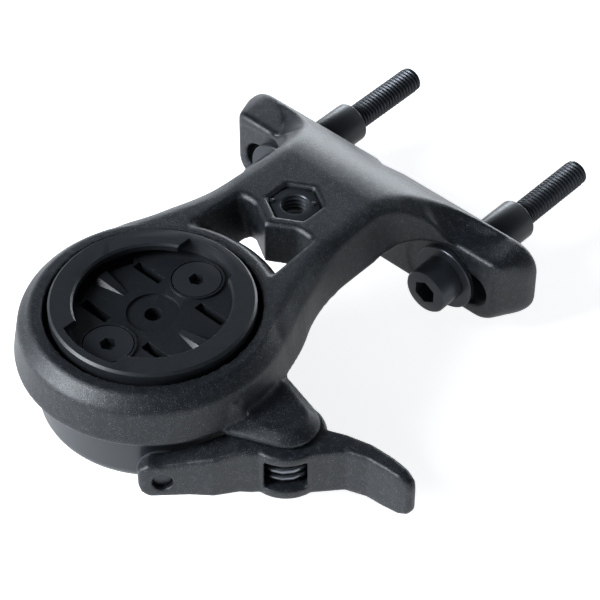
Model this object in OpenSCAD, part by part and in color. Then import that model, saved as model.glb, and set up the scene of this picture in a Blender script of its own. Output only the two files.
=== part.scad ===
// Out-front computer mount with a bell under its head, held by the two bolts of a stem's face plate.
// Origin: middle of the stem's face between the two bolts. +Y points back along the bolts,
// -Y forward to the head, +Z up, and the bell's lever is on the +X side.

/* [Stem bolts] */
// Distance between the two bolts
bolt_spacing = 40; // [38:0.5:46]
// Length of each bolt under its head
bolt_len = 38.5; // [34:0.5:46]
// Radius of a bolt's thread
bolt_r = 2.45; // [2:0.05:2.6]
// Radius of a bolt's head
bolt_head_r = 4.25; // [3.6:0.05:4.8]
// Height of a bolt's head
bolt_head_h = 5; // [4:0.25:5.5]
// Radius of the washers
washer_r = 6.2; // [5.5:0.1:6.8]
// Thickness of the washers
washer_t = 1; // [0.8:0.1:1.4]
// Length of the spacers between the bracket and the stem
spacer_len = 11.6; // [8:0.2:16]
// Outer radius of the spacers
spacer_r = 3.85; // [3.5:0.05:4.6]

/* [Bracket] */
// Distance from the stem's face to the centre of the head
reach = 71.6; // [67:0.2:84]
// Height of the head's top above the bolts
rise = 16.8; // [16:0.2:18]
// Half width of the plate that the bolts pass through
plate_half_w = 33.8; // [33:0.2:37]
// Thickness of that plate
plate_t = 8.4; // [8:0.1:10]
// Depth of the washers' seats in the plate
seat_depth = 0.2; // [0.1:0.1:1]
// Height of the plate above the bolts
plate_up = 8.5; // [8.2:0.1:9.4]
// Depth of the plate below the bolts
plate_down = 5.8; // [5:0.1:6.6]
// How far each slot lets its bolt move outwards
slot_out = 6.2; // [4:0.1:6.6]
// How far each slot lets its bolt move inwards
slot_in = 2; // [1:0.1:3]
// Half width of the slots
slot_r = 3.2; // [2.9:0.05:3.4]
// Half width of the neck's flat top
neck_half_w = 10.5; // [9.8:0.1:12]
// Depth of the arms and the head's skirt
body_depth = 8.8; // [8.4:0.1:10]

/* [Head] */
// Radius of the head's flat top
head_r = 20; // [19.6:0.1:21.5]
// Width and depth of the head's chamfer
head_chamfer = 2.3; // [1.8:0.1:2.6]
// How much the skirt flares below the chamfer
skirt_flare = 1.1; // [0.6:0.1:1.4]
// Depth of the recess that holds the insert
socket_depth = 4.2; // [3.8:0.1:4.5]
// Thickness of the head's floor
floor_t = 2.4; // [2:0.1:2.6]

/* [Computer insert] */
// Outer radius of the insert
insert_r = 17.1; // [16.6:0.1:17.4]
// How far the insert stands above the head
insert_up = 1.4; // [1:0.1:2]
// Radius of the opening between the lips
lip_r = 13; // [12.6:0.1:13.4]
// Radius of the groove under the lips
groove_r = 15.5; // [15:0.1:15.8]
// Thickness of the lips
lip_t = 1.3; // [1:0.1:1.5]
// Depth of the insert's floor below its top
insert_floor = 3.1; // [2.8:0.1:3.4]
// Width of the two entry notches
notch_w = 11.6; // [10.5:0.1:12.4]
// Distance of each insert screw from the centre
insert_screw_y = 10.2; // [9.8:0.1:10.4]
// Radius of the insert screws' heads
insert_screw_head_r = 4.1; // [3.8:0.1:4.3]
// Length of the insert screws
insert_screw_len = 8; // [7:0.5:9]

/* [Bell] */
// Outer radius of the dome
bell_r = 20; // [19.6:0.1:20.2]
// Wall of the dome
bell_wall = 1; // [0.8:0.1:1.4]
// Height of the dome's straight side
bell_side = 10.7; // [9.5:0.1:11.4]
// Height of the dome's rounded end
bell_crown = 6.9; // [5.5:0.1:8]
// Gap between the dome's rim and the head's floor
bell_gap = 0.8; // [0.5:0.1:1.2]
// Radius of the post that carries the dome
post_r = 4.6; // [4.3:0.1:6]

/* [Lever] */
// Place of the lever's pivot across the head
pivot_x = 28.6; // [28.3:0.05:29.4]
// Place of the lever's pivot along the head
pivot_y = 1; // [0.4:0.1:1.8]
// Radius of the lever's barrel
barrel_r = 6.7; // [6.6:0.1:7]
// Height of the lever at its barrel
lever_h = 9.8; // [9.4:0.1:10.2]
// Radius of the pivot pin
pin_r = 1.5; // [1.3:0.05:1.7]
// Radius of the lug above the lever
lug_r = 4.8; // [4.4:0.1:5.2]
// Wire radius of the lever's spring
wire_r = 0.62; // [0.5:0.01:0.66]
// Mean radius of the spring's coils
coil_r = 4.3; // [3.8:0.05:4.35]
// Number of coils
coils = 2; // [1:1:2]

/* [Accessory nut] */
// Distance of the nut from the head's centre
nut_y = 34.2; // [33.6:0.1:34.8]
// Width of the nut across its flats
nut_af = 8; // [7.8:0.1:8.2]
// Height of the nut
nut_h = 4; // [3.6:0.1:4.7]
// Depth of the nut below the bracket's top
nut_sunk = 0.6; // [0.4:0.1:1.5]

/* [Hidden] */
$fn = 96;
hull_fn = 32;

plastic = [0.16, 0.165, 0.175];
satin_plastic = [0.2, 0.205, 0.215];
dome_coat = [0.22, 0.225, 0.24];
black_steel = [0.12, 0.12, 0.13];
bare_steel = [0.62, 0.63, 0.65];
brass = [0.72, 0.58, 0.3];
rubber = [0.1, 0.1, 0.1];

// Clearances
fit = 0.05;         // running fit of a pin or a screw in its hole
loose = 0.25;       // clearance hole round a screw
gap = 0.3;          // gap between faces that move past each other
sink = 0.5;         // how deep one moulded form runs into the next

// Bracket, measured from the head's centre and its top
plate_back = reach - spacer_len;
plate_front = plate_back - plate_t;
seat_y = plate_front + seat_depth;
plate_top = plate_up - rise;
plate_bottom = -rise - plate_down;
corner_r = 3.8;
seat_r = washer_r + 0.8;
crown_start = plate_front - 9.6;
crown_drop = 0.7 - plate_top;
skirt_r = head_r + head_chamfer + skirt_flare;
cavity_r = bell_r + 0.8;
socket_r = insert_r + 0.9;
floor_z = -socket_depth;
ceiling_z = floor_z - floor_t;
boss_r = 7.6;
nut_pocket_af = nut_af + 0.3;
nut_z = -nut_sunk;
nut_bore_r = 2.1;
boss_hole_r = 2.75;

// Insert
insert_z = insert_up - insert_floor;
insert_screw_r = 2;
bush_r = 2.9;
bush_len = 5;
insert_screw_z = insert_z + 0.35;

// Bell, its screw and its post
bell_rim_z = ceiling_z - bell_gap;
bell_bend_z = bell_rim_z - bell_side;
bell_pole_z = bell_bend_z - bell_crown;
bell_flat_r = 5.4;
bell_flat_z = bell_bend_z - bell_crown * sqrt(1 - pow(bell_flat_r / bell_r, 2));
grommet_t = 1.2;
bell_screw_r = 2;
bell_screw_head_r = 3.8;
bell_screw_head_h = 2.2;
bell_washer_t = 0.8;
bell_bush_len = 6;
post_end_z = bell_flat_z + bell_wall + grommet_t;
bell_screw_end_z = post_end_z + bell_bush_len - 1;

// Lever
lug_t = 2;
lug_bottom = -body_depth - 0.4;
lug_top = lug_bottom + lug_t;
lever_top = lug_bottom - gap;
lever_bottom = lever_top - lever_h;
window_top = lever_top - 1.8;
window_bottom = lever_bottom + 2.05;
window_half_w = 3.45;
window_turn = -47.5;
spring_pocket_r = coil_r + wire_r + gap;
coil_pitch = wire_r * 2 + 0.43;
leg_turn = 160;
coil_low = window_bottom + wire_r + 0.05;
pad_gap = 0.8;
pad_t = 0.75;
pad_r = 4.1;
pad_seat_r = bell_r + pad_gap + pad_t;
arm_back_r = pad_seat_r;
arm_front_r = bell_r + 4.7;
arm_end_top = lever_top - 2.5;
arm_turn = -52.3;
striker_turn = -42.8;
striker_z = lever_bottom + 3.5;
striker_r = 1.7;
lever_washer_t = 0.4;
clip_t = 0.6;
clip_r = 3;
pin_tip = 1;
groove_depth = 0.35;

module at_head() {
    translate([0, -reach, rise]) children();
}

// Cubic curve through the points of a table of [place, value]
function tangent(t, i) =
    let (a = max(i - 1, 0), b = min(i + 1, len(t) - 1)) (t[b][1] - t[a][1]) / (t[b][0] - t[a][0]);
function blend_curve(a, b, ma, mb, u) =
    a * (2 * u * u * u - 3 * u * u + 1) + ma * (u * u * u - 2 * u * u + u)
    + b * (3 * u * u - 2 * u * u * u) + mb * (u * u * u - u * u);
function on_curve(t, p, i = 0) =
    p <= t[0][0] ? t[0][1]
    : i >= len(t) - 1 ? t[len(t) - 1][1]
    : p > t[i + 1][0] ? on_curve(t, p, i + 1)
    : let (h = t[i + 1][0] - t[i][0])
        blend_curve(t[i][1], t[i + 1][1], tangent(t, i) * h, tangent(t, i + 1) * h, (p - t[i][0]) / h);

// Points of a rounded corner at b, between the lines to a and c
function toward(a, b, d) = a + (b - a) * min(d / norm(b - a), 0.49);
function corner(a, b, c, d, n = 3) =
    let (p = toward(b, a, d), q = toward(b, c, d))
    [for (i = [0:n]) let (u = i / n) p * (1 - u) * (1 - u) + b * 2 * u * (1 - u) + q * u * u];

// Closed body through sections that all have the same number of points
module loft(sections) {
    n = len(sections[0]);
    last = len(sections) - 1;
    sides = [for (k = [0:last - 1], i = [0:n - 1]) let (j = (i + 1) % n)
        each [[k * n + i, k * n + j, (k + 1) * n + j], [k * n + i, (k + 1) * n + j, (k + 1) * n + i]]];
    polyhedron(
        points = [for (s = sections) each s],
        faces = concat([[for (i = [n - 1:-1:0]) i]], sides, [[for (i = [0:n - 1]) last * n + i]]));
}

// Cylinder along Y
module rod_y(r, y0, y1, r2 = -1) {
    translate([0, y0, 0]) rotate([-90, 0, 0]) cylinder(r1 = r, r2 = r2 < 0 ? r : r2, h = y1 - y0);
}

// Slot along X, cut through along Y
module slot_y(r, x0, x1, y0, y1) {
    translate([x0, 0, 0]) rod_y(r, y0, y1);
    translate([x1, 0, 0]) rod_y(r, y0, y1);
    translate([x0, y0, -r]) cube([x1 - x0, y1 - y0, 2 * r]);
}

// Half widths of the arms at a distance from the head's centre
function on_circle(r, y) = sqrt(max(r * r - y * y, 0.01));
chamfer_r = head_r + head_chamfer;
top_edge = [
    [8, on_circle(head_r, 8) - 0.3], [12, on_circle(head_r, 12) + 0.6], [16, on_circle(head_r, 12) - 0.8],
    [20, neck_half_w + 3.2], [24, neck_half_w + 1.9], [28, neck_half_w + 0.9], [32, neck_half_w + 0.4],
    [plate_front - 14, neck_half_w], [plate_front - 9, neck_half_w], [plate_front - 4, neck_half_w + 1.2],
    [plate_front, neck_half_w + 3.3], [plate_front + 3, neck_half_w + 5.4],
    [plate_front + 5, neck_half_w + 8.5], [plate_front + 7, neck_half_w + 14.5], [plate_back, neck_half_w + 19]];
fold_edge = [
    [8, on_circle(chamfer_r, 8) - 0.3], [12, on_circle(chamfer_r, 12) + 0.5],
    [16, on_circle(chamfer_r, 12) - 1.4], [20, neck_half_w + 5.6], [24, neck_half_w + 4.2],
    [28, neck_half_w + 3], [32, neck_half_w + 2.3],
    [plate_front - 14, neck_half_w + 2], [plate_front - 9, neck_half_w + 2.1],
    [plate_front - 6, neck_half_w + 3.1], [plate_front - 3, neck_half_w + 5.2],
    [plate_front - 1, neck_half_w + 7.8], [plate_front + 1, neck_half_w + 10.5],
    [plate_front + 5, neck_half_w + 13.5], [plate_front + 7, neck_half_w + 17], [plate_back, neck_half_w + 20.5]];
fold_depth = [
    [8, head_chamfer], [20, head_chamfer - 0.4], [24, head_chamfer - 0.5], [28, head_chamfer - 0.9],
    [32, head_chamfer - 1.5], [plate_front - 14, 0.6], [plate_front - 9, 0.8],
    [plate_front - 6, 1.7], [plate_front - 3, 3.6], [plate_front - 1, 5.9],
    [plate_front + 0.6, 0.3 - plate_top], [plate_front + 7, 0.4 - plate_top], [plate_back, crown_drop + 0.6]];
low_edge = [
    [8, on_circle(skirt_r, 8) - 0.3], [12, on_circle(skirt_r, 12) + 0.4], [16, on_circle(skirt_r, 12) - 1.1],
    [20, neck_half_w + 6.4], [24, neck_half_w + 5], [28, neck_half_w + 4.2], [32, neck_half_w + 3.9],
    [plate_front - 14, neck_half_w + 3.8], [plate_front - 9, neck_half_w + 3.7],
    [plate_front - 6, neck_half_w + 4.2], [plate_front - 3, neck_half_w + 6.3],
    [plate_front - 1, neck_half_w + 9.6], [plate_front + 1, neck_half_w + 14.5], [plate_back, neck_half_w + 21]];

// Drop of the bracket's crown towards the stem
function crown(y) =
    y <= crown_start ? 0 : -crown_drop * pow((y - crown_start) / (plate_back - crown_start), 2.2);

function arm_section(y) =
    let (t = crown(y),
        top = [on_curve(top_edge, y), t],
        fold = [on_curve(fold_edge, y), min(-on_curve(fold_depth, y), t - 0.3)],
        low = [on_curve(low_edge, y), -max(body_depth, on_curve(fold_depth, y) + 0.8)],
        half = concat(corner([0, low[1]], low, fold, 0.7, 2), corner(low, fold, top, 0.9),
            corner(fold, top, [0, t], 1.3)))
    concat([for (p = half) [p[0], y, p[1]]],
        [for (i = [len(half) - 1:-1:0]) [-half[i][0], y, half[i][1]]]);

stations = concat([for (y = [8:1.5:plate_front - 10]) y], [for (y = [plate_front - 8.6:0.8:plate_front - 3]) y],
    [for (y = [plate_front - 2.6:0.4:plate_front + 1.4]) y], [for (y = [plate_front + 2.2:0.8:plate_back - 0.4]) y],
    [plate_back]);

module arms() {
    loft([for (y = stations) arm_section(y)]);
}

// Outline of the opening between the arms, round the front of the nut's boss
function opening_outline(z, grow, lean) =
    let (x1 = 9.2 + grow - lean, x0 = 8.3 + grow - lean, y0 = nut_y - 4.8 + grow,
        v = nut_y - boss_r + grow, bx = min((y0 - v) * sqrt(3), x0 - 0.6),
        tip = [x1, on_circle(head_r + 0.4 - grow, x1)], back = [x0, y0], side = [bx, y0], nose = [0, v],
        half = concat(corner([0, head_r + 0.4 - grow], tip, back, 2, 4), corner(tip, back, side, 1.3, 4),
            corner(back, side, nose, 0.5, 2)),
        front = [for (i = [-5:5]) let (x = (x1 - 1.2) * i / 5.4) [x, on_circle(head_r + 0.4 - grow, x), z]])
    concat([for (p = half) [-p[0], p[1], z]], [[nose[0], nose[1], z]],
        [for (i = [len(half) - 1:-1:0]) [half[i][0], half[i][1], z]], [for (i = [10:-1:0]) front[i]]);

module arms_opening() {
    loft([opening_outline(-body_depth - 2, 0, 2.3), opening_outline(-body_depth, 0, 2.2),
        opening_outline(-2, 0, 0.2), opening_outline(-0.9, 0.03, 0), opening_outline(-0.45, 0.2, 0),
        opening_outline(-0.15, 0.45, 0), opening_outline(0, 0.8, 0), opening_outline(1, 1, 0)]);
}

// Section of the plate: a rectangle with rounded corners, the upper pair of its own radius
function plate_section(y, inset_x, inset_z, top_r) =
    let (w = plate_half_w - inset_x, top = plate_top - inset_z, bottom = plate_bottom + inset_z,
        half = concat(
            [for (a = [-90:15:0]) [w - corner_r + corner_r * cos(a), bottom + corner_r + corner_r * sin(a)]],
            [for (a = [0:15:90]) [w - top_r + top_r * cos(a), top - top_r + top_r * sin(a)]]))
    concat([for (p = half) [p[0], y, p[1]]], [for (i = [len(half) - 1:-1:0]) [-half[i][0], y, half[i][1]]]);

// Rows from front to back: place, insets and upper corner's radius. The ends are well rounded in front
plate_rows = [[0, 4, 0.8, 1.4], [0.25, 3.5, 0.3, 1.4], [0.8, 3, 0, 1.5], [1.6, 2.5, 0, 1.9], [3, 1.7, 0, 2.6],
    [4.5, 0.8, 0, 3.5], [5.7, 0.2, 0, 4], [6.7, 0, 0, 4.3], [plate_t - 0.9, 0, 0, 4.4],
    [plate_t - 0.25, 0.25, 0.25, 4.4], [plate_t, 0.9, 0.9, 4]];

module plate() {
    loft([for (r = plate_rows) plate_section(plate_front + r[0], r[1], r[2], r[3])]);
}

module plate_slots() {
    mid = bolt_spacing / 2;
    for (side = [-1, 1]) {
        x0 = min(side * (mid - slot_in + bolt_r - slot_r), side * (mid + slot_out + bolt_r - slot_r));
        x1 = max(side * (mid - slot_in + bolt_r - slot_r), side * (mid + slot_out + bolt_r - slot_r));
        translate([0, 0, -rise]) {
            slot_y(slot_r, x0, x1, plate_front - 1, plate_back + 1);
            slot_y(seat_r, side > 0 ? mid - slot_in : -mid - slot_out, side > 0 ? mid + slot_out : -mid + slot_in,
                plate_front - 1, seat_y);
        }
    }
}

// The head, turned about its own axis
module head_body() {
    r = 0.5;
    rotate_extrude() polygon(concat(
        [[0, -body_depth]],
        corner([0, -body_depth], [skirt_r, -body_depth], [chamfer_r, -head_chamfer], 0.8),
        corner([skirt_r, -body_depth], [chamfer_r, -head_chamfer], [head_r, 0], r),
        corner([chamfer_r, -head_chamfer], [head_r, 0], [0, 0], r),
        [[0, 0]]));
}

// Lug that carries the lever's pin at the foot of the skirt
module lug() {
    root = skirt_r - 2;
    hull() {
        translate([pivot_x - 0.2, pivot_y + 0.6, lug_bottom]) cylinder(r = lug_r + 0.5, h = 0.8, $fn = hull_fn);
        translate([pivot_x - 0.6, pivot_y + 0.6, lug_bottom]) cylinder(r = lug_r - 1.4, h = lug_t, $fn = hull_fn);
        translate([root, pivot_y - 8, lug_bottom]) cube([0.6, 15.8, 0.8]);
        translate([root, pivot_y - 4.3, lug_bottom]) cube([0.6, 10.3, lug_t]);
    }
    hull() {
        translate([root + 0.2, pivot_y - 4.5, lug_top]) cylinder(r = 1.2, h = 3.2, $fn = hull_fn);
        translate([root + 1.5, pivot_y - 4.2, lug_bottom + 0.3]) cylinder(r = 0.7, h = lug_t + 0.3, $fn = hull_fn);
        translate([root + 0.3, pivot_y - 7.6, lug_bottom + 0.3]) cylinder(r = 0.5, h = 0.6, $fn = hull_fn);
        translate([root - 0.6, pivot_y - 8.2, lug_bottom + 0.3]) cylinder(r = 0.5, h = 1.9, $fn = hull_fn);
    }
}

// Two pockets under the neck that keep its walls even
module core_pockets() {
    for (side = [-1, 1]) {
        translate([side * 5.2 - 3.7, plate_front - 9, -body_depth - 1]) cube([7.4, 8, body_depth - 4]);
    }
}

module bracket_ribs() {
    for (side = [-1, 1]) {
        translate([-1, side > 0 ? post_r - sink : -insert_screw_y, ceiling_z - 3.4])
            cube([2, insert_screw_y - post_r + sink, 3.4 + sink]);
    }
}

module bracket() color(plastic) at_head() {
    difference() {
        union() {
            difference() {
                union() {
                    head_body();
                    difference() {
                        arms();
                        arms_opening();
                        core_pockets();
                    }
                    plate();
                    lug();
                }
                translate([0, 0, lug_bottom - 1]) cylinder(r = cavity_r, h = ceiling_z - lug_bottom + 1);
            }
            translate([0, 0, post_end_z]) cylinder(r = post_r, h = ceiling_z - post_end_z + sink);
            for (side = [-1, 1]) {
                translate([0, side * insert_screw_y, floor_z - bush_len - 1.4])
                    cylinder(r = bush_r + 1.5, h = bush_len + 1.4 - 0.2);
            }
            bracket_ribs();
        }
        translate([0, 0, floor_z]) cylinder(r = socket_r, h = socket_depth + 1);
        for (side = [-1, 1]) {
            translate([0, side * insert_screw_y, floor_z - bush_len]) cylinder(r = bush_r, h = bush_len + 1);
            translate([0, side * insert_screw_y, floor_z - bush_len - 0.9]) cylinder(r = insert_screw_r + loose, h = 2);
        }
        translate([0, 0, post_end_z - 1]) cylinder(r = bush_r, h = bell_bush_len + 1);
        translate([0, 0, post_end_z]) cylinder(r = bell_screw_r + loose, h = bell_bush_len + 3);
        translate([0, nut_y, nut_z - nut_h]) rotate(30 + 60) cylinder(r = nut_pocket_af / sqrt(3), h = nut_h + 3, $fn = 6);
        translate([0, nut_y, -0.5]) rotate(90) cylinder(r1 = nut_pocket_af / sqrt(3), r2 = nut_pocket_af / sqrt(3) + 1.2, h = 1.2, $fn = 6);
        translate([0, nut_y, -body_depth - 1]) cylinder(r = boss_hole_r, h = body_depth);
        plate_slots();
        translate([pivot_x, pivot_y, lug_bottom - 1]) cylinder(r = pin_r, h = 1 + lug_t - 0.5);
        translate([pivot_x + leg_end[0], pivot_y + leg_end[1], lug_bottom - 1])
            cylinder(r = wire_r + fit, h = 2.2, $fn = 32);
        translate([-0.5, plate_back, plate_top - 1.5]) rotate([-50, 0, 0]) translate([0, 0, 9]) rod_y(9, -12, 8);
    }
}

// Node at each node's own place, from the head's centre or from a bolt
module at_bolt(side) {
    translate([side * bolt_spacing / 2, 0, 0]) children();
}

module computer_insert() color(satin_plastic) at_head() {
    top = insert_up;
    difference() {
        union() {
            rotate_extrude() polygon([[0, floor_z], [insert_r - 0.3, floor_z], [insert_r, floor_z + 0.3],
                [insert_r, top - 0.4], [insert_r - 0.4, top], [0, top]]);
        }
        translate([0, 0, insert_z]) cylinder(r = groove_r, h = insert_floor - lip_t);
        translate([0, 0, insert_z]) cylinder(r = lip_r, h = insert_floor + 1);
        translate([0, 0, top - 0.35]) cylinder(r1 = lip_r, r2 = lip_r + 0.5, h = 0.5);
        intersection() {
            translate([0, 0, insert_z]) cylinder(r = groove_r, h = insert_floor + 1);
            translate([-notch_w / 2, -groove_r - 1, insert_z]) cube([notch_w, 2 * groove_r + 2, insert_floor + 1]);
        }
        insert_trough();
        for (side = [-1, 1]) {
            translate([0, side * insert_screw_y, insert_z - 0.6]) cylinder(r = insert_screw_head_r + 0.2, h = 3);
            translate([0, side * insert_screw_y, floor_z - 1]) cylinder(r = insert_screw_r + loose, h = 9);
            translate([0, side * insert_screw_y, insert_screw_z - 2.35])
                cylinder(r1 = insert_screw_r + loose, r2 = insert_screw_head_r + loose, h = 2.1);
        }
        for (sx = [-1, 1], sy = [-1, 1]) {
            translate([sx * 7.2, sy * 6.15, 0]) translate([-3, -0.85, floor_z - 1]) cube([6, 1.7, 6]);
        }
        translate([0, 0, insert_z - 0.4]) cylinder(r = 4.5, h = 2);
        translate([0, 0, floor_z - 1]) cylinder(r = 1.5, h = 6);
    }
    insert_screw_rings();
    detent_ramps();
}

// Lower ring between the tongues and the groove's wall
module insert_trough() {
    for (side = [0, 180]) {
        rotate([0, 0, side - 30]) translate([0, 0, insert_z - 0.9]) rotate_extrude(angle = 60)
            translate([12.2, 0]) square([groove_r - 12.5, 1.2]);
    }
}

module insert_screw_rings() {
    for (side = [-1, 1]) {
        translate([0, side * insert_screw_y, insert_z - 0.6]) difference() {
            cylinder(r = insert_screw_head_r + 0.55, h = 1);
            translate([0, 0, -1]) cylinder(r = insert_screw_head_r + 0.2, h = 3);
        }
    }
}

// Two wedges that click into the computer's back
module detent_ramps() {
    for (turn = [0, 180]) {
        rotate([0, 0, turn]) translate([0, 0, insert_z]) loft([
            [[6.3, 0.8, -0.2], [6.3, -0.8, -0.2], [6.3, -0.5, 0.02], [6.3, 0.5, 0.02]],
            [[12, 2, -0.2], [12, -2, -0.2], [12, -1, 0.95], [12, 1, 0.95]]]);
    }
}

// Countersunk screw with a hexagon socket
module insert_screw() {
    difference() {
        union() {
            rotate_extrude() polygon([[0, 0], [insert_screw_head_r, 0], [insert_screw_head_r, -0.3],
                [insert_screw_r, -2.3], [insert_screw_r, -insert_screw_len + 0.5],
                [insert_screw_r - 0.5, -insert_screw_len], [0, -insert_screw_len]]);
        }
        translate([0, 0, -1.6]) rotate(30) cylinder(r = 2.5 / sqrt(3), h = 3, $fn = 6);
    }
}

module insert_screw_front() color(black_steel) at_head()
    translate([0, -insert_screw_y, insert_screw_z]) insert_screw();

module insert_screw_rear() color(black_steel) at_head()
    translate([0, insert_screw_y, insert_screw_z]) insert_screw();

// Threaded brass bush with a grooved waist
module bush(length, bore) {
    rotate_extrude() polygon([[bore, 0], [bush_r - 0.2, 0], [bush_r, 0.2], [bush_r, length * 0.4],
        [bush_r - 0.3, length * 0.45], [bush_r - 0.3, length * 0.55], [bush_r, length * 0.6],
        [bush_r, length - 0.2], [bush_r - 0.2, length], [bore, length]]);
}

module insert_bush_front() color(brass) at_head()
    translate([0, -insert_screw_y, floor_z - bush_len]) bush(bush_len, insert_screw_r + fit);

module insert_bush_rear() color(brass) at_head()
    translate([0, insert_screw_y, floor_z - bush_len]) bush(bush_len, insert_screw_r + fit);

module accessory_nut() color(black_steel) at_head() {
    translate([0, nut_y, nut_z - nut_h]) difference() {
        intersection() {
            rotate(90) cylinder(r = nut_af / sqrt(3), h = nut_h, $fn = 6);
            rotate_extrude() polygon([[0, 0], [nut_af / 2, 0], [nut_af / sqrt(3), 0.35],
                [nut_af / sqrt(3), nut_h - 0.35], [nut_af / 2, nut_h], [0, nut_h]]);
        }
        translate([0, 0, -1]) cylinder(r = nut_bore_r, h = nut_h + 2);
        translate([0, 0, nut_h - 0.4]) cylinder(r1 = nut_bore_r, r2 = nut_bore_r + 0.6, h = 0.5);
    }
}

// Spun dome: a straight side, a rounded end and a small flat for its screw
function dome_line(r, crown) = concat([[r, bell_rim_z]],
    [for (i = [0:18]) let (a = i * 5) if (r * cos(a) > bell_flat_r) [r * cos(a), bell_bend_z - crown * sin(a)]]);

module bell_dome() color(dome_coat) at_head() {
    outside = dome_line(bell_r, bell_crown);
    inside = dome_line(bell_r - bell_wall, bell_crown - bell_wall);
    hole = bell_screw_r + loose;
    rotate_extrude() polygon(concat(outside, [[bell_flat_r, bell_flat_z], [hole, bell_flat_z],
        [hole, bell_flat_z + bell_wall], [bell_flat_r, bell_flat_z + bell_wall]],
        [for (i = [len(inside) - 1:-1:0]) inside[i]]));
}

module bell_grommet() color(rubber) at_head()
    translate([0, 0, bell_flat_z + bell_wall]) difference() {
        cylinder(r = post_r, h = grommet_t);
        translate([0, 0, -1]) cylinder(r = bell_screw_r + loose, h = grommet_t + 2);
    }

module bell_bush() color(brass) at_head() translate([0, 0, post_end_z]) bush(bell_bush_len, bell_screw_r + fit);

module bell_washer() color(bare_steel) at_head()
    translate([0, 0, bell_flat_z - bell_washer_t]) difference() {
        cylinder(r = bell_flat_r - 0.5, h = bell_washer_t);
        translate([0, 0, -1]) cylinder(r = bell_screw_r + loose, h = bell_washer_t + 2);
    }

module bell_screw() color(black_steel) at_head() {
    under = bell_flat_z - bell_washer_t;
    difference() {
        rotate_extrude() polygon(concat(
            [[0, bell_screw_end_z], [bell_screw_r - 0.4, bell_screw_end_z], [bell_screw_r, bell_screw_end_z - 0.4],
                [bell_screw_r, under], [bell_screw_head_r, under]],
            [for (i = [0:6]) let (a = i * 12) [bell_screw_head_r * (1 - 0.63 * (1 - cos(a))),
                under - 0.4 - sin(a) * (bell_screw_head_h - 0.4)]],
            [[0, under - bell_screw_head_h]]));
        translate([0, 0, under - bell_screw_head_h - 1]) cylinder(r = 2.5 / sqrt(3), h = 2.3, $fn = 6);
    }
}

// Lever: front and back edges of its arm and thumb piece, seen from above
function polar(r, a) = [r * cos(a), r * sin(a)];
arm_ribs = [
    [polar(arm_front_r - 0.6, arm_turn), polar(arm_back_r + 0.4, arm_turn + 0.2), 1.9, 2.2],
    [polar(arm_front_r - 0.1, arm_turn + 1.2), polar(arm_back_r, arm_turn + 1.2), 0.9, 1],
    [polar(arm_front_r, arm_turn + 3.2), polar(arm_back_r, arm_turn + 3.2), 0.3, 0.3],
    [polar(arm_front_r, striker_turn - 5), polar(arm_back_r, striker_turn - 5), 0, 0],
    [polar(arm_front_r, striker_turn), polar(arm_back_r, striker_turn), 0, 0],
    [polar(arm_front_r + 0.5, -33.1), polar(arm_back_r, -33), 0, 0],
    [polar(arm_front_r + 2, -24.9), polar(arm_back_r + 0.2, -25.5), 0, 0],
    [[pivot_x - 2, pivot_y - 8.9], [pivot_x - 6, pivot_y - 5], 0, 0],
    [[pivot_x - 0.4, pivot_y - 7.6], [pivot_x - 5, pivot_y - 1.5], 0, 0],
    [[pivot_x + 1, pivot_y - 6], [pivot_x - 3, pivot_y + 1], 0, 0]];
thumb_ribs = [
    [[pivot_x + 4.6, pivot_y - 3.4], [pivot_x + 1, pivot_y + 2.4], 0, 0],
    [[pivot_x + 7.5, pivot_y - 0.2], [pivot_x + 4, pivot_y + 4.4], 0, 0],
    [[pivot_x + 10.2, pivot_y + 2.9], [pivot_x + 7.7, pivot_y + 6], 0, 0],
    [[pivot_x + 13.7, pivot_y + 4.2], [pivot_x + 12.2, pivot_y + 7.2], 0, 0],
    [[pivot_x + 17.2, pivot_y + 4.5], [pivot_x + 16.6, pivot_y + 7.4], 0, 0],
    [[pivot_x + 19.8, pivot_y + 4.7], [pivot_x + 19.8, pivot_y + 7.2], 0.2, 0.3],
    [[pivot_x + 21.3, pivot_y + 4.9], [pivot_x + 21.5, pivot_y + 6.8], 0.9, 1.1],
    [[pivot_x + 22, pivot_y + 5.3], [pivot_x + 22.1, pivot_y + 6.3], 1.9, 2.2]];

function lever_section(f, b, top, bottom) =
    let (d = 0.8, a = [0, bottom], e = [0, top], w = norm(b - f), u = (b - f) / w,
        p = [[w, bottom], [0, bottom], [0, top], [w, top]],
        ring = [for (i = [0:3]) each corner(p[(i + 3) % 4], p[i], p[(i + 1) % 4], d, 3)])
    [for (q = ring) [f[0] + u[0] * q[0], f[1] + u[1] * q[0], q[1]]];

function arm_top(i) = i <= 4 ? arm_end_top : i == 5 ? arm_end_top + 0.7 : i == 6 ? arm_end_top + 1.5 : lever_top - 0.05;

module lever_arm() {
    loft([for (i = [0:len(arm_ribs) - 1]) let (r = arm_ribs[i])
        lever_section(r[0], r[1], arm_top(i) - r[2], lever_bottom + 0.05 + r[3])]);
}

module lever_thumb() {
    loft([for (i = [0:len(thumb_ribs) - 1]) let (r = thumb_ribs[i])
        lever_section(r[0], r[1], lever_top - 0.05 - r[2], lever_bottom + 0.05 + r[3])]);
}

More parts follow.
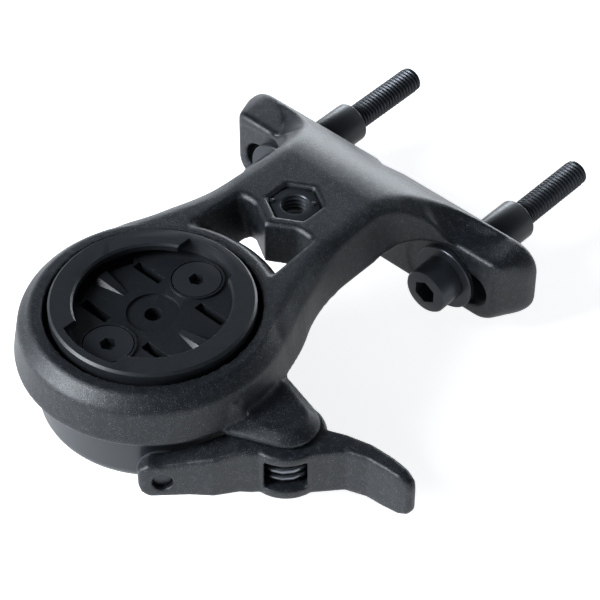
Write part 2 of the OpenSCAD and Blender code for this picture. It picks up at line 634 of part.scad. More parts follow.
module thumb_lever() color(plastic) at_head() difference() {
    union() {
        translate([pivot_x, pivot_y, 0]) rotate_extrude() polygon(concat([[0, lever_bottom]],
            corner([0, lever_bottom], [barrel_r, lever_bottom], [barrel_r, lever_top], 0.8),
            corner([barrel_r, lever_bottom], [barrel_r, lever_top], [0, lever_top], 0.8), [[0, lever_top]]));
        lever_arm();
        lever_thumb();
    }
    translate([pivot_x, pivot_y, lever_bottom - 1]) cylinder(r = pin_r + fit, h = lever_h + 2);
    translate([pivot_x, pivot_y, window_bottom]) cylinder(r = spring_pocket_r, h = window_top - window_bottom);
    translate([pivot_x, pivot_y, window_bottom]) rotate(window_turn)
        translate([0, -window_half_w, 0]) cube([barrel_r + 6, 2 * window_half_w, window_top - window_bottom]);
    translate([pivot_x, pivot_y, window_top - 1]) rotate(leg_turn - 38) rotate_extrude(angle = 52)
        translate([coil_r - wire_r - 0.2, 0]) square([2 * wire_r + 0.4, 5]);
    rotate(striker_turn) translate([arm_back_r - 3, 0, striker_z]) rotate([0, 90, 0]) {
        cylinder(r = striker_r, h = 9);
        cylinder(r = pad_r + gap, h = 3);
    }
}

// Striker pressed through the end of the lever, with a pad behind that meets the dome
module striker() color(black_steel) at_head() rotate(striker_turn) translate([pad_seat_r, 0, striker_z])
    rotate([0, 90, 0]) rotate_extrude() polygon([[0, -pad_t], [1.2, -pad_t], [pad_r - 0.5, -pad_t + 0.12],
        [pad_r, -pad_t + 0.4], [pad_r, -0.2], [pad_r - 0.2, -0.02], [striker_r, -0.02], [striker_r, 1.9],
        [striker_r - 0.3, 2.1], [0, 2.1]]);

// Torsion spring: a coil and two legs, one up into the lug, one against the window's wall
coil_steps = 16;
coil_turns = coils + 0.72;
coil_start = leg_turn - 360 * coil_turns;
coil_n = floor(coil_steps * coil_turns);
function coil_point(i) =
    let (a = coil_start + 360 * i / coil_steps) [coil_r * cos(a), coil_r * sin(a), coil_low + coil_pitch * i / coil_steps];
leg_end = let (p = coil_point(coil_n)) [p[0] + 0.3, p[1] + 0.1, lug_bottom + 1];
spring_line = concat([for (i = [0:coil_n]) coil_point(i)],
    [coil_point(coil_n) + [0.25, 0.05, 0.8], [leg_end[0], leg_end[1], lug_bottom - gap], leg_end]);

function unit(v) = v / norm(v);
function line_dir(l, i) = unit(l[min(i + 1, len(l) - 1)] - l[max(i - 1, 0)]);
function ring_at(l, i, r, n) =
    let (d = line_dir(l, i), out = unit([l[i][0], l[i][1], 0.001]), side = unit(cross(d, out)), up = cross(side, d))
    [for (k = [0:n - 1]) l[i] + r * (cos(360 * k / n) * up + sin(360 * k / n) * side)];

module lever_spring() color(bare_steel) at_head() translate([pivot_x, pivot_y, 0])
    loft([for (i = [0:len(spring_line) - 1]) ring_at(spring_line, i, wire_r, 8)]);

module lever_pin() color(bare_steel) at_head() translate([pivot_x, pivot_y, 0]) {
    low = lever_bottom - lever_washer_t - clip_t - pin_tip;
    groove = lever_bottom - lever_washer_t - clip_t;
    rotate_extrude() polygon([[0, low], [pin_r - 0.3, low], [pin_r, low + 0.3], [pin_r, groove],
        [pin_r - groove_depth, groove], [pin_r - groove_depth, groove + clip_t], [pin_r, groove + clip_t],
        [pin_r, lug_top - 0.5], [0, lug_top - 0.5]]);
}

module lever_washer() color(rubber) at_head()
    translate([pivot_x, pivot_y, lever_bottom - lever_washer_t]) difference() {
        cylinder(r = clip_r + 0.6, h = lever_washer_t);
        translate([0, 0, -1]) cylinder(r = pin_r + fit, h = 3);
    }

// Retaining clip, open on one side, snapped into the pin's groove
module lever_clip() color(bare_steel) at_head()
    translate([pivot_x, pivot_y, lever_bottom - lever_washer_t - clip_t]) difference() {
        cylinder(r = clip_r, h = clip_t);
        translate([0, 0, -1]) cylinder(r = pin_r - groove_depth + fit, h = 3);
        translate([0, -(pin_r - groove_depth) * 0.8, -1]) cube([clip_r + 1, (pin_r - groove_depth) * 1.6, 3]);
        for (a = [90, 180, 270]) {
            rotate(a) translate([clip_r - 0.75, 0, -1]) cylinder(r = 0.5, h = 3, $fn = 24);
        }
    }

// Stem bolt, washer and spacer, along Y from the stem's face
bolt_under = -spacer_len - plate_t + seat_depth - washer_t;
shank_r = bolt_r - 0.2;
thread_start = gap;

module stem_bolt(side) {
    tip = bolt_under + bolt_len;
    at_bolt(side) difference() {
        rotate([-90, 0, 0]) rotate_extrude() polygon([[0, bolt_under - bolt_head_h],
            [bolt_head_r - 0.5, bolt_under - bolt_head_h], [bolt_head_r, bolt_under - bolt_head_h + 0.5],
            [bolt_head_r, bolt_under], [shank_r, bolt_under], [shank_r, thread_start], [bolt_r, thread_start],
            [bolt_r, tip - 0.7], [bolt_r - 0.7, tip], [0, tip]]);
        translate([0, bolt_under - bolt_head_h - 1, 0]) rotate([-90, 0, 0])
            cylinder(r = 4 / sqrt(3), h = 3.6, $fn = 6);
    }
}

module stem_bolt_left() color(black_steel) stem_bolt(-1);

module stem_bolt_right() color(black_steel) stem_bolt(1);

module bolt_washer(side) {
    at_bolt(side) difference() {
        rod_y(washer_r, bolt_under, bolt_under + washer_t);
        rod_y(bolt_r + fit, bolt_under - 1, bolt_under + washer_t + 1);
    }
}

module bolt_washer_left() color(black_steel) bolt_washer(-1);

module bolt_washer_right() color(black_steel) bolt_washer(1);

module bolt_spacer(side) {
    at_bolt(side) difference() {
        rotate([-90, 0, 0]) rotate_extrude() polygon([[bolt_r + fit, -spacer_len], [spacer_r - 0.3, -spacer_len],
            [spacer_r, -spacer_len + 0.3], [spacer_r, -0.3], [spacer_r - 0.3, 0], [bolt_r + fit, 0]]);
    }
}

module bolt_spacer_left() color(plastic) bolt_spacer(-1);

module bolt_spacer_right() color(plastic) bolt_spacer(1);

bracket();
computer_insert();
insert_screw_front();
insert_screw_rear();
insert_bush_front();
insert_bush_rear();
accessory_nut();
bell_dome();
bell_screw();
bell_washer();
bell_bush();
bell_grommet();
thumb_lever();
striker();
lever_spring();
lever_pin();
lever_washer();
lever_clip();
stem_bolt_left();
stem_bolt_right();
bolt_washer_left();
bolt_washer_right();
bolt_spacer_left();
bolt_spacer_right();
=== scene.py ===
import math

import bmesh
import bpy
from mathutils import Matrix, Vector


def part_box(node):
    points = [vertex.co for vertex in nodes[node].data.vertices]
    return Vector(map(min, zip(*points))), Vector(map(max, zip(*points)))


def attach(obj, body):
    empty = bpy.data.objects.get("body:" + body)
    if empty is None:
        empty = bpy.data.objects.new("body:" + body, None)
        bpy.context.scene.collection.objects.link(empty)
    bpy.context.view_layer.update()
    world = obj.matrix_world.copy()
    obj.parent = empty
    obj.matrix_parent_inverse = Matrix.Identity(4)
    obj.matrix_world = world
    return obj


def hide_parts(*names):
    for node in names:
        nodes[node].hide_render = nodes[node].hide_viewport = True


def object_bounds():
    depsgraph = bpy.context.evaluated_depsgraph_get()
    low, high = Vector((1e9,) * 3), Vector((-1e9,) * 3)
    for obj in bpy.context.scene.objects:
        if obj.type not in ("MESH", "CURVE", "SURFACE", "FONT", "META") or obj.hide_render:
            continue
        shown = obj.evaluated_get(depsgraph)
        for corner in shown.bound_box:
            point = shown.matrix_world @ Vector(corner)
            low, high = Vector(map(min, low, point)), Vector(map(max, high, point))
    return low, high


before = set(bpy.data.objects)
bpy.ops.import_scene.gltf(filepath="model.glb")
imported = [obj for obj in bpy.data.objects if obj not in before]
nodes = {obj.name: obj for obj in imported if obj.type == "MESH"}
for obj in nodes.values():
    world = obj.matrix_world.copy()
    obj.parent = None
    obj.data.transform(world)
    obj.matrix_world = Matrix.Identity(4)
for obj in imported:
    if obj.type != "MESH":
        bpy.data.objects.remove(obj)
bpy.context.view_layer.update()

bpy.ops.object.select_all(action="DESELECT")

# Camera: a long lens, in front of the mount's lever side and above it, as in the photograph.
# It looks down at the bracket's neck.
VIEW_TURN = math.radians(42.59)
VIEW_HEIGHT = math.radians(44.545)
VIEW_PLACE = (0.19803, -0.25157, 0.28028)
bpy.ops.object.camera_add(location=VIEW_PLACE,
                          rotation=(math.pi / 2 - VIEW_HEIGHT, 0, VIEW_TURN))
camera = bpy.context.object
camera.data.sensor_width = 36
camera.data.lens = 138
camera.data.clip_start = 0.01
bpy.context.scene.camera = camera
bpy.context.scene.view_settings.view_transform = "Standard"

# Studio: the mount stands on a pale floor, in front of a plain backdrop.
# Both show white to the camera, and the floor keeps a soft shadow.
# Reflections see a greyer floor and a room that is darker above.
FLOOR_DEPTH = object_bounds()[0].z - 0.0002


def studio_white(name, shade, glow, mirrored):
    """Pale matt card with a glow that only the camera and reflections see, each at its own strength."""
    card = bpy.data.materials.new(name)
    card.use_nodes = True
    tree = card.node_tree
    tree.nodes.clear()
    output = tree.nodes.new("ShaderNodeOutputMaterial")
    paper = tree.nodes.new("ShaderNodeBsdfDiffuse")
    paper.inputs["Color"].default_value = (shade, shade, shade, 1)
    shine = tree.nodes.new("ShaderNodeEmission")
    shine.inputs["Color"].default_value = (1, 1, 1, 1)
    path = tree.nodes.new("ShaderNodeLightPath")
    in_mirrors = tree.nodes.new("ShaderNodeMath")
    in_mirrors.operation = "MULTIPLY"
    in_mirrors.inputs[1].default_value = mirrored
    tree.links.new(path.outputs["Is Glossy Ray"], in_mirrors.inputs[0])
    strength = tree.nodes.new("ShaderNodeMath")
    strength.operation = "MULTIPLY_ADD"
    strength.inputs[1].default_value = glow
    tree.links.new(path.outputs["Is Camera Ray"], strength.inputs[0])
    tree.links.new(in_mirrors.outputs[0], strength.inputs[2])
    tree.links.new(strength.outputs[0], shine.inputs["Strength"])
    both = tree.nodes.new("ShaderNodeAddShader")
    tree.links.new(paper.outputs[0], both.inputs[0])
    tree.links.new(shine.outputs[0], both.inputs[1])
    tree.links.new(both.outputs[0], output.inputs["Surface"])
    return card


bpy.ops.mesh.primitive_plane_add(size=6, location=(0, 0, FLOOR_DEPTH))
floor = bpy.context.object
floor.name = "studio_floor"
floor.data.materials.append(studio_white("studio_floor_card", 0.8, 0.8, 0.45))

world = bpy.data.worlds.new("studio_room")
world.use_nodes = True
bpy.context.scene.world = world
room = world.node_tree
room.nodes.clear()
room_output = room.nodes.new("ShaderNodeOutputWorld")
# The room is dark above and pale towards the horizon, and plain white behind the mount
room_light = room.nodes.new("ShaderNodeBackground")
room_light.inputs["Color"].default_value = (0.8, 0.89, 1, 1)
room_way = room.nodes.new("ShaderNodeTexCoord")
room_axes = room.nodes.new("ShaderNodeSeparateXYZ")
room_height = room.nodes.new("ShaderNodeMapRange")
room_height.inputs["From Min"].default_value = 0.12
room_height.inputs["From Max"].default_value = 0.5
room_height.inputs["To Min"].default_value = 0.5
room_height.inputs["To Max"].default_value = 0.1
room.links.new(room_way.outputs["Generated"], room_axes.inputs[0])
room.links.new(room_axes.outputs["Z"], room_height.inputs["Value"])
room.links.new(room_height.outputs["Result"], room_light.inputs["Strength"])
room_backdrop = room.nodes.new("ShaderNodeBackground")
room_backdrop.inputs["Color"].default_value = (1, 1, 1, 1)
room_backdrop.inputs["Strength"].default_value = 1
room_path = room.nodes.new("ShaderNodeLightPath")
room_mix = room.nodes.new("ShaderNodeMixShader")
room.links.new(room_path.outputs["Is Camera Ray"], room_mix.inputs["Fac"])
room.links.new(room_light.outputs[0], room_mix.inputs[1])
room.links.new(room_backdrop.outputs[0], room_mix.inputs[2])
room.links.new(room_mix.outputs[0], room_output.inputs["Surface"])


def softbox(name, place, aim, width, height, watts):
    """Rectangular lamp at a place, turned to a point of the mount."""
    bpy.ops.object.light_add(type="AREA", location=place)
    lamp = bpy.context.object
    lamp.name = name
    lamp.data.shape = "RECTANGLE"
    lamp.data.size = width
    lamp.data.size_y = height
    lamp.data.energy = watts
    lamp.data.color = (0.88, 0.94, 1)
    lamp.rotation_euler = (Vector(aim) - Vector(place)).to_track_quat("-Z", "Y").to_euler()
    return lamp


NECK = (0, -0.03, 0.01)
softbox("softbox_front_left", (-0.26, -0.54, 0.3), NECK, 0.26, 0.4, 7)
softbox("softbox_rear", (-0.28, 0.64, 0.07), NECK, 0.9, 0.16, 5)
softbox("softbox_lever_side", (0.5, -0.42, 0.04), NECK, 0.5, 0.16, 0.25)

# Bracket: one injection moulding in black nylon with glass fibre, from the head to the stem plate.
# Its top faces show the fibres as fine specks, and its edges are softened by the mould.
def moulded_grain_group():
    """Fine grain of a fibre-filled moulding: specks, uneven gloss and a shallow relief."""
    group = bpy.data.node_groups.new("moulded_grain", "ShaderNodeTree")
    face = group.interface
    face.new_socket("Speck Amount", in_out="INPUT", socket_type="NodeSocketFloat")
    face.new_socket("Grain Size", in_out="INPUT", socket_type="NodeSocketFloat")
    face.new_socket("Relief", in_out="INPUT", socket_type="NodeSocketFloat")
    face.new_socket("Gloss", in_out="INPUT", socket_type="NodeSocketFloat")
    face.new_socket("Base", in_out="INPUT", socket_type="NodeSocketColor")
    face.new_socket("Color", in_out="OUTPUT", socket_type="NodeSocketColor")
    face.new_socket("Roughness", in_out="OUTPUT", socket_type="NodeSocketFloat")
    face.new_socket("Normal", in_out="OUTPUT", socket_type="NodeSocketVector")
    add = group.nodes.new
    link = group.links.new
    inlet = add("NodeGroupInput")
    outlet = add("NodeGroupOutput")
    place = add("ShaderNodeTexCoord")
    grain = add("ShaderNodeTexNoise")
    grain.inputs["Detail"].default_value = 3
    grain.inputs["Roughness"].default_value = 0.6
    link(place.outputs["Object"], grain.inputs["Vector"])
    link(inlet.outputs["Grain Size"], grain.inputs["Scale"])
    fibres = add("ShaderNodeTexVoronoi")
    fibres.feature = "F1"
    fibres.inputs["Randomness"].default_value = 1
    link(place.outputs["Object"], fibres.inputs["Vector"])
    link(inlet.outputs["Grain Size"], fibres.inputs["Scale"])
    dots = add("ShaderNodeMapRange")
    dots.inputs["From Min"].default_value = 0.34
    dots.inputs["From Max"].default_value = 0.05
    link(fibres.outputs["Distance"], dots.inputs["Value"])
    rare = add("ShaderNodeTexNoise")
    rare.inputs["Scale"].default_value = 900
    rare.inputs["Detail"].default_value = 1
    link(place.outputs["Object"], rare.inputs["Vector"])
    patch = add("ShaderNodeMapRange")
    patch.inputs["From Min"].default_value = 0.3
    patch.inputs["From Max"].default_value = 0.68
    link(rare.outputs["Fac"], patch.inputs["Value"])
    specks = add("ShaderNodeMath")
    specks.operation = "MULTIPLY"
    link(dots.outputs["Result"], specks.inputs[0])
    link(patch.outputs["Result"], specks.inputs[1])
    amount = add("ShaderNodeMath")
    amount.operation = "MULTIPLY"
    link(specks.outputs[0], amount.inputs[0])
    link(inlet.outputs["Speck Amount"], amount.inputs[1])
    tint = add("ShaderNodeMix")
    tint.data_type = "RGBA"
    tint.inputs["B"].default_value = (0.3, 0.33, 0.38, 1)
    link(inlet.outputs["Base"], tint.inputs["A"])
    link(amount.outputs[0], tint.inputs["Factor"])
    link(tint.outputs["Result"], outlet.inputs["Color"])
    uneven = add("ShaderNodeMath")
    uneven.operation = "MULTIPLY_ADD"
    uneven.inputs[1].default_value = 0.22
    link(grain.outputs["Fac"], uneven.inputs[0])
    link(inlet.outputs["Gloss"], uneven.inputs[2])
    link(uneven.outputs[0], outlet.inputs["Roughness"])
    relief = add("ShaderNodeBump")
    relief.inputs["Distance"].default_value = 0.00008
    link(inlet.outputs["Relief"], relief.inputs["Strength"])
    link(grain.outputs["Fac"], relief.inputs["Height"])
    link(relief.outputs["Normal"], outlet.inputs["Normal"])
    return group


moulded_grain = moulded_grain_group()


def moulded_plastic(name, base, specks, relief, gloss, shine):
    """Black moulding whose grain comes from the shared group."""
    skin = bpy.data.materials.new(name)
    skin.use_nodes = True
    tree = skin.node_tree
    shader = tree.nodes["Principled BSDF"]
    shader.inputs["Specular IOR Level"].default_value = shine
    grain = tree.nodes.new("ShaderNodeGroup")
    grain.node_tree = moulded_grain
    grain.inputs["Speck Amount"].default_value = specks
    grain.inputs["Grain Size"].default_value = 5400
    grain.inputs["Relief"].default_value = relief
    grain.inputs["Gloss"].default_value = gloss
    grain.inputs["Base"].default_value = (*base, 1)
    tree.links.new(grain.outputs["Color"], shader.inputs["Base Color"])
    tree.links.new(grain.outputs["Roughness"], shader.inputs["Roughness"])
    tree.links.new(grain.outputs["Normal"], shader.inputs["Normal"])
    return skin


def paint(name, skin):
    """Gives a CAD node its finish."""
    slots = nodes[name].data.materials
    slots.clear()
    slots.append(skin)


SAME_POINT = 0.000002
FLAT_ANGLE = math.radians(0.5)


def select_only(piece):
    """Makes a piece the only one that operators act on."""
    bpy.ops.object.select_all(action="DESELECT")
    piece.select_set(True)
    bpy.context.view_layer.objects.active = piece


def smooth_copy(name, angle, body):
    """Copy of a CAD node with its points merged and its curved faces shaded smooth."""
    copy = nodes[name].copy()
    copy.data = nodes[name].data.copy()
    copy.parent = None
    copy.name = name + "_piece"
    for key in list(copy.keys()):
        del copy[key]
    bpy.context.scene.collection.objects.link(copy)
    select_only(copy)
    bpy.ops.object.mode_set(mode="EDIT")
    bpy.ops.mesh.select_all(action="SELECT")
    bpy.ops.mesh.remove_doubles(threshold=SAME_POINT)
    bpy.ops.mesh.dissolve_limited(angle_limit=FLAT_ANGLE)
    bpy.ops.object.mode_set(mode="OBJECT")
    bpy.ops.object.shade_smooth_by_angle(angle=math.radians(angle))
    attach(copy, body)
    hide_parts(name)
    return copy


bracket_skin = moulded_plastic("bracket_nylon", (0.0075, 0.0088, 0.011), 0.8, 0.7, 0.27, 0.5)


def soften(piece, grid, passes):
    """Rounds a moulding's edges as its mould does: an even mesh over the form, relaxed a few times."""
    select_only(piece)
    cover = piece.modifiers.new("even_mesh", "REMESH")
    cover.mode = "VOXEL"
    cover.voxel_size = grid
    cover.adaptivity = 0
    relax = piece.modifiers.new("relax", "SMOOTH")
    relax.factor = 0.5
    relax.iterations = passes
    for step in (cover, relax):
        bpy.ops.object.modifier_apply(modifier=step.name)
    bpy.ops.object.shade_smooth()


def finish_with(piece, skin):
    """Gives a piece one finish all over."""
    piece.data.materials.clear()
    piece.data.materials.append(skin)


BRACKET_GRID = 0.00039
bracket = smooth_copy("bracket", 34, "mount")
soften(bracket, BRACKET_GRID, passes=1)
finish_with(bracket, bracket_skin)

# Computer insert: a satin black moulding that takes the wear of the computer's tabs.
# It is screwed down into the head's recess.
insert_skin = moulded_plastic("insert_nylon", (0.0095, 0.0108, 0.013), 0.15, 0.12, 0.32, 0.5)
insert = smooth_copy("computer_insert", 30, "mount")


def break_edges(piece, width, angle):
    """Rounds the sharp edges of a piece."""
    select_only(piece)
    rounding = piece.modifiers.new("rounding", "BEVEL")
    rounding.width = width
    rounding.segments = 2
    rounding.limit_method = "ANGLE"
    rounding.angle_limit = math.radians(angle)
    rounding.use_clamp_overlap = True
    bpy.ops.object.modifier_apply(modifier=rounding.name)
    bpy.ops.object.shade_smooth_by_angle(angle=math.radians(angle))


INSERT_EDGE = 0.00012
break_edges(insert, INSERT_EDGE, 32)
finish_with(insert, insert_skin)


# Screws of the insert, black steel with a hexagon socket, in their brass bushes.
# The steel has a dull black oxide finish.
def steel(name, base, metal, gloss, shine=0.5):
    """Steel with an even finish and a slight unevenness in its gloss."""
    skin = bpy.data.materials.new(name)
    skin.use_nodes = True
    tree = skin.node_tree
    shader = tree.nodes["Principled BSDF"]
    shader.inputs["Base Color"].default_value = (*base, 1)
    shader.inputs["Metallic"].default_value = metal
    shader.inputs["Specular IOR Level"].default_value = shine
    place = tree.nodes.new("ShaderNodeTexCoord")
    cloud = tree.nodes.new("ShaderNodeTexNoise")
    cloud.inputs["Scale"].default_value = 1800
    cloud.inputs["Detail"].default_value = 3
    spread = tree.nodes.new("ShaderNodeMapRange")
    spread.inputs["To Min"].default_value = gloss - 0.08
    spread.inputs["To Max"].default_value = gloss + 0.08
    tree.links.new(place.outputs["Object"], cloud.inputs["Vector"])
    tree.links.new(cloud.outputs["Fac"], spread.inputs["Value"])
    tree.links.new(spread.outputs["Result"], shader.inputs["Roughness"])
    return skin


black_steel = steel("black_screw_steel", (0.055, 0.059, 0.067), 0.6, 0.33)
brass = steel("brass_bushes", (0.55, 0.4, 0.17), 1, 0.32)
for name in ("insert_screw_front", "insert_screw_rear"):
    paint(name, black_steel)
for name in ("insert_bush_front", "insert_bush_rear", "bell_bush"):
    paint(name, brass)

# Bell: a spun dome with a dark satin coat, its screw and washer, on a rubber grommet.
# The coat is smooth and shows soft wide reflections.
dome_coat = moulded_plastic("dome_satin", (0.028, 0.031, 0.036), 0, 0.03, 0.24, 0.6)
paint("bell_dome", dome_coat)
paint("bell_screw", black_steel)
bare_steel = steel("bare_spring_steel", (0.62, 0.63, 0.65), 1, 0.25)
for name in ("bell_washer", "lever_pin", "lever_clip"):
    paint(name, bare_steel)
rubber = moulded_plastic("soft_rubber", (0.02, 0.02, 0.02), 0, 0.3, 0.6, 0.3)
for name in ("bell_grommet", "lever_washer"):
    paint(name, rubber)

# Thumb lever: the same nylon as the bracket, with a steel striker pressed through its end.
# It turns on a pin in the bracket's lug.
LEVER_GRID = 0.00026
lever = smooth_copy("thumb_lever", 34, "lever")
soften(lever, LEVER_GRID, passes=3)
finish_with(lever, bracket_skin)
paint("striker", black_steel)
spring = smooth_copy("lever_spring", 70, "mount")
finish_with(spring, steel("oiled_spring_steel", (0.2, 0.21, 0.23), 1, 0.32))

# Stem bolts: black steel cap screws with a rolled metric thread towards the stem.
# Each keeps its washer in front of the plate and its spacer behind it.
# The thread's ridge is flat at its crest, widens to its foot and is sunk a little in the core.
THREAD_PITCH = 0.0008
CREST_HALF = 0.07 * THREAD_PITCH
FOOT_HALF = 0.44 * THREAD_PITCH
FOOT_SUNK = 0.12 * THREAD_PITCH
THREAD_STEPS = 32
TURNED_STEPS = 96
spacer_satin = steel("spacer_satin", (0.022, 0.0235, 0.027), 0.4, 0.36)


def thread_ridge(name, crest, root, turns):
    """Helical ridge round Z, from the origin up. A nut's crest lies inside its root, a bolt's outside."""
    bpy.ops.object.select_all(action="DESELECT")
    foot = root - math.copysign(FOOT_SUNK, crest - root)
    bpy.ops.mesh.primitive_plane_add(size=1, location=(0, 0, 0))
    ridge = bpy.context.object
    ridge.name = name
    corners = [(foot, -FOOT_HALF), (crest, -CREST_HALF), (crest, CREST_HALF), (foot, FOOT_HALF)]
    points_in_a_ring = (0, 1, 3, 2)
    for index, (across, along) in zip(points_in_a_ring, corners):
        ridge.data.vertices[index].co = (across, 0, along)
    bpy.ops.object.mode_set(mode="EDIT")
    bpy.ops.mesh.select_all(action="SELECT")
    bpy.ops.mesh.delete(type="ONLY_FACE")
    bpy.ops.object.mode_set(mode="OBJECT")
    winding = ridge.modifiers.new("winding", "SCREW")
    winding.axis = "Z"
    winding.angle = math.tau
    winding.screw_offset = THREAD_PITCH
    winding.iterations = turns
    winding.steps = THREAD_STEPS
    winding.render_steps = THREAD_STEPS
    bpy.ops.object.modifier_apply(modifier=winding.name)
    bpy.ops.object.mode_set(mode="EDIT")
    bpy.ops.mesh.select_all(action="SELECT")
    bpy.ops.mesh.remove_doubles(threshold=0.0000005)
    bpy.ops.mesh.fill_holes(sides=4)
    bpy.ops.mesh.select_all(action="SELECT")
    bpy.ops.mesh.normals_make_consistent(inside=False)
    bpy.ops.object.mode_set(mode="OBJECT")
    bpy.ops.object.shade_smooth_by_angle(angle=math.radians(40))
    return ridge


def turned_piece(name, middle, rings, skin):
    """Piece turned round Y: a circle is extruded from ring to ring, each a radius and a place along Y."""
    bpy.ops.object.select_all(action="DESELECT")
    first_radius, first_y = rings[0]
    hollow = rings[-1] == rings[0]
    bpy.ops.mesh.primitive_circle_add(vertices=TURNED_STEPS, radius=first_radius,
                                      fill_type="NOTHING" if hollow else "NGON")
    piece = bpy.context.object
    piece.name = name
    first_place = Matrix.Translation((middle.x, first_y, middle.z))
    piece.data.transform(first_place @ Matrix.Rotation(math.pi / 2, 4, "X"))
    bpy.ops.object.mode_set(mode="EDIT")
    bpy.ops.mesh.select_all(action="SELECT")
    radius, y = first_radius, first_y
    for next_radius, next_y in rings[1:]:
        bpy.ops.mesh.extrude_region_move(TRANSFORM_OT_translate={"value": (0, next_y - y, 0)})
        if next_radius != radius:
            factor = next_radius / radius
            bpy.ops.transform.resize(value=(factor, 1, factor),
                                     center_override=(middle.x, next_y, middle.z))
        radius, y = next_radius, next_y
    bpy.ops.mesh.select_all(action="SELECT")
    bpy.ops.mesh.remove_doubles(threshold=0.000001)
    bpy.ops.mesh.normals_make_consistent(inside=False)
    bpy.ops.object.mode_set(mode="OBJECT")
    bpy.ops.object.shade_smooth_by_angle(angle=math.radians(35))
    finish_with(piece, skin)
    return piece


def join_to(piece, extra):
    """Makes the extra mesh part of the piece."""
    select_only(piece)
    extra.select_set(True)
    bpy.ops.object.join()


def place_copy(piece, name, shift):
    """Copy of a piece with its own mesh, moved by a shift."""
    copy = piece.copy()
    copy.data = piece.data.copy()
    copy.name = name
    copy.data.transform(Matrix.Translation(shift))
    bpy.context.scene.collection.objects.link(copy)
    return copy


def cut_hexagon(piece, middle, radius, front, depth):
    """Cuts the hexagon socket into a bolt's head from the front."""
    bpy.ops.object.select_all(action="DESELECT")
    bpy.ops.mesh.primitive_cylinder_add(vertices=6, radius=radius, depth=depth * 2)
    cutter = bpy.context.object
    face = Matrix.Translation((middle.x, front, middle.z))
    cutter.data.transform(face @ Matrix.Rotation(math.pi / 2, 4, "X"))
    select_only(piece)
    socket = piece.modifiers.new("socket", "BOOLEAN")
    socket.operation = "DIFFERENCE"
    socket.solver = "EXACT"
    socket.object = cutter
    bpy.ops.object.modifier_apply(modifier=socket.name)
    bpy.data.objects.remove(cutter)
    bpy.ops.object.shade_smooth_by_angle(angle=math.radians(35))


# The left bolt, its washer and its spacer are turned, and the right ones are copies of them
HEAD_HEIGHT = 0.005
FACE_EDGE = 0.0005
FACE_ROUND = 0.0002
RIM_EDGE = 0.0001
SOCKET_RADIUS = 0.004 / math.sqrt(3)
SOCKET_DEPTH = 0.0026
# Shank and start of the thread are those of the CAD's bolt
SHANK_RADIUS = 0.00225
THREAD_RADIUS = 0.00245
THREAD_ROOT = 0.00207
THREAD_START = 0.0003
RUN_OUT = 0.0002
TIP_LENGTH = 0.001
TIP_RADIUS = THREAD_RADIUS - 0.0001
TIP_POINT = THREAD_ROOT - 0.0003
bolt_low, bolt_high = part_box("stem_bolt_left")
bolt_middle = (bolt_low + bolt_high) / 2
head_radius = (bolt_high.x - bolt_low.x) / 2
front, tip = bolt_low.y, bolt_high.y
under_head = front + HEAD_HEIGHT
bolt = turned_piece("stem_bolt_left_piece", bolt_middle, [
    (head_radius - FACE_EDGE, front), (head_radius - FACE_ROUND, front + RIM_EDGE),
    (head_radius, front + 2 * FACE_ROUND), (head_radius, under_head - RIM_EDGE),
    (head_radius - RIM_EDGE, under_head), (SHANK_RADIUS, under_head), (SHANK_RADIUS, THREAD_START),
    (THREAD_ROOT, THREAD_START + RUN_OUT), (THREAD_ROOT, tip - 0.9 * TIP_LENGTH),
    (TIP_RADIUS, tip - 0.8 * TIP_LENGTH), (TIP_RADIUS, tip - 0.5 * TIP_LENGTH), (TIP_POINT, tip)],
    black_steel)
cut_hexagon(bolt, bolt_middle, SOCKET_RADIUS, front, SOCKET_DEPTH)
turns = int((tip - TIP_LENGTH - RUN_OUT - THREAD_START) / THREAD_PITCH)
ridge = thread_ridge("bolt_thread", THREAD_RADIUS, THREAD_ROOT, turns)
ridge_start = Matrix.Translation((bolt_middle.x, tip - TIP_LENGTH - turns * THREAD_PITCH, bolt_middle.z))
ridge.data.transform(ridge_start @ Matrix.Rotation(-math.pi / 2, 4, "X"))
finish_with(ridge, black_steel)
join_to(bolt, ridge)

BORE_RADIUS = 0.0025
WASHER_EDGE = 0.00015
washer_low, washer_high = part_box("bolt_washer_left")
washer_radius = (washer_high.z - washer_low.z) / 2
washer = turned_piece("bolt_washer_left_piece", (washer_low + washer_high) / 2, [
    (BORE_RADIUS, washer_low.y), (washer_radius - WASHER_EDGE, washer_low.y),
    (washer_radius, washer_low.y + WASHER_EDGE), (washer_radius, washer_high.y - WASHER_EDGE),
    (washer_radius - WASHER_EDGE, washer_high.y), (BORE_RADIUS, washer_high.y),
    (BORE_RADIUS, washer_low.y)], black_steel)

SPACER_EDGE = 0.0003
EDGE_BULGE = 0.00008
EDGE_RISE = 0.0001
spacer_low, spacer_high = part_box("bolt_spacer_left")
spacer_radius = (spacer_high.z - spacer_low.z) / 2
spacer = turned_piece("bolt_spacer_left_piece", (spacer_low + spacer_high) / 2, [
    (BORE_RADIUS, spacer_low.y), (spacer_radius - SPACER_EDGE, spacer_low.y),
    (spacer_radius - EDGE_BULGE, spacer_low.y + EDGE_RISE), (spacer_radius, spacer_low.y + SPACER_EDGE),
    (spacer_radius, spacer_high.y - SPACER_EDGE), (spacer_radius - EDGE_BULGE, spacer_high.y - EDGE_RISE),
    (spacer_radius - SPACER_EDGE, spacer_high.y), (BORE_RADIUS, spacer_high.y),
    (BORE_RADIUS, spacer_low.y)], spacer_satin)

to_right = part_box("stem_bolt_right")[0] - bolt_low
for left, node, slot in ((bolt, "stem_bolt", "black_screws"), (washer, "bolt_washer", "black_screws"),
                         (spacer, "bolt_spacer", "insert_nylon")):
    right = place_copy(left, node + "_right_piece", to_right)
    for side, piece in (("left", left), ("right", right)):
        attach(piece, "bolt_" + side)
        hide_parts(node + "_" + side)

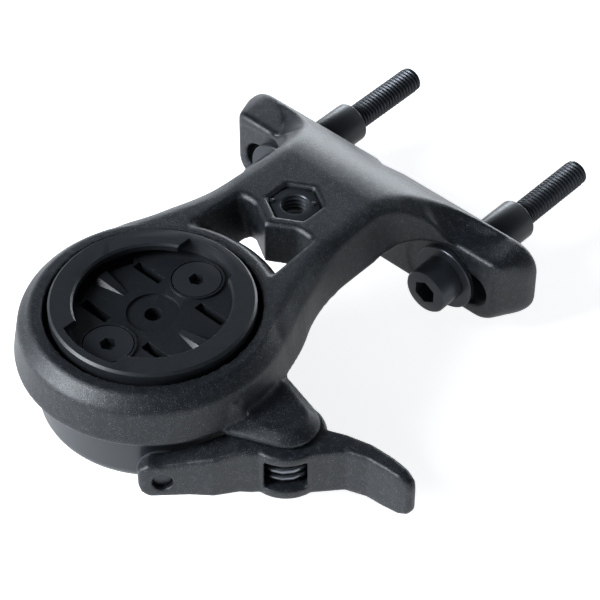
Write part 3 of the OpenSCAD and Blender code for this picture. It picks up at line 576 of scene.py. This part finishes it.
# Accessory nut: a thin hexagon nut held in the neck's pocket, with its thread cut through.
# An adapter for a lamp or a camera is screwed into it from below.
nut_low, nut_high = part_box("accessory_nut")
nut_middle = (nut_low + nut_high) / 2
nut = smooth_copy("accessory_nut", 35, "mount")


def widen_bore(piece, middle, inside, factor):
    """Opens a nut's bore to the root of its thread: all points nearer than inside move out by a factor."""
    select_only(piece)
    bpy.ops.object.mode_set(mode="EDIT")
    bpy.ops.mesh.select_all(action="DESELECT")
    bpy.ops.mesh.select_mode(type="VERT")
    points = bmesh.from_edit_mesh(piece.data)
    for point in points.verts:
        point.select = (point.co.xy - middle.xy).length < inside
    points.select_flush_mode()
    bmesh.update_edit_mesh(piece.data)
    bpy.ops.transform.resize(value=(factor, factor, 1), center_override=(middle.x, middle.y, 0))
    bpy.ops.object.mode_set(mode="OBJECT")


NUT_BORE = 0.0021
NUT_ROOT = 0.00248
NUT_EDGE = 0.0001
NUT_PLAY = 0.00002
widen_bore(nut, nut_middle, NUT_BORE + NUT_EDGE, NUT_ROOT / NUT_BORE)
break_edges(nut, NUT_EDGE, 30)
finish_with(nut, black_steel)
nut_turns = int((nut_high.z - nut_low.z) / THREAD_PITCH) - 1
nut_ridge = thread_ridge("nut_thread", NUT_BORE + NUT_PLAY, NUT_ROOT - NUT_PLAY, nut_turns)
nut_ridge.data.transform(Matrix.Translation((nut_middle.x, nut_middle.y, nut_low.z + THREAD_PITCH / 2)))
finish_with(nut_ridge, black_steel)
join_to(nut, nut_ridge)

# Crush pips: two small round stubs, moulded on the sides of the nut's pocket.
# They hold the nut down until an adapter's screw is in it.
PIP_RADIUS = 0.00042
PIP_LENGTH = 0.0007
PIP_RISE = 0.00012
PIP_EDGE = 0.00012
LEFT_PIP = Vector((-0.0033, -0.0396, nut_high.z + PIP_RISE))
RIGHT_PIP = Vector((0.0025, -0.0354, nut_high.z + PIP_RISE))
bpy.ops.object.select_all(action="DESELECT")
bpy.ops.mesh.primitive_cylinder_add(vertices=24, radius=PIP_RADIUS, depth=PIP_LENGTH)
left_pip = bpy.context.object
left_pip.name = "crush_pip_left"
left_pip.data.transform(Matrix.Translation(LEFT_PIP))
break_edges(left_pip, PIP_EDGE, 40)
finish_with(left_pip, bracket_skin)
right_pip = place_copy(left_pip, "crush_pip_right", RIGHT_PIP - LEFT_PIP)
for pip in (left_pip, right_pip):
    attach(pip, "mount")
